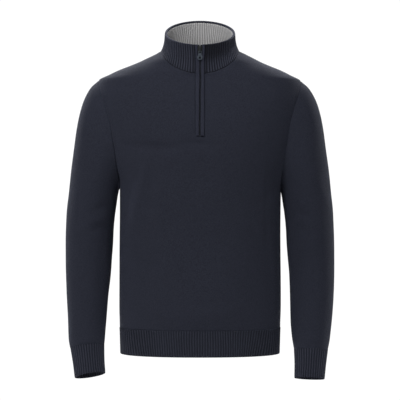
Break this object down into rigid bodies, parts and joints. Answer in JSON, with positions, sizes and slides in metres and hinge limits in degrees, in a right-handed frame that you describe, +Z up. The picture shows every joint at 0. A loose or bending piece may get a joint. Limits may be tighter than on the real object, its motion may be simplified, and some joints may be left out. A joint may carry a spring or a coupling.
{
  "type": "quarter zip sweater",
  "caption": "Hollow long-sleeved knit sweater as worn, with a ribbed stand collar, a short front zip with a swinging pull tab, and ribbed cuffs and hem.",
  "frame": {"origin": "middle of the neck base, where the garment hangs on the wearer's shoulders", "axes": "+Z up along the body from hem to collar, -Y to the front with the zip, +X to the wearer's left"},
  "size_m": [0.6037, 0.2445, 0.8102],
  "materials": {
    "jersey_navy": "fine smooth knit, dark navy, matt",
    "rib_navy": "ribbed knit, dark navy, matt",
    "rib_grey": "ribbed knit, light grey marl, matt",
    "band_navy": "flat knitted band, dark navy",
    "zip_tape": "woven zip tape, dark navy",
    "zip_teeth": "dark moulded teeth",
    "slider_metal": "blue-grey enamelled metal, satin"
  },
  "bodies": {
    "garment": {"body_front": "jersey_navy", "body_back": "jersey_navy", "sleeve_left": "jersey_navy", "sleeve_right": "jersey_navy", "hem_rib_front": "rib_navy", "hem_rib_back": "rib_navy", "cuff_left": "rib_navy", "cuff_right": "rib_navy", "collar_outer": "rib_navy", "collar_inner": "rib_grey", "placket_left": "band_navy", "placket_right": "band_navy", "zip_tape_left": "zip_tape", "zip_tape_right": "zip_tape", "zip_chain": "zip_teeth", "zip_slider": "slider_metal"},
    "pull_tab": {"zip_pull": "slider_metal"}
  },
  "joints": [
    {"name": "pull_swing", "type": "hinge", "parent": "garment", "child": "pull_tab", "pos_m": [0, -0.08497, -0.00183], "axis": [-1, 0, 0], "range_deg": [0, 170]}
  ]
}
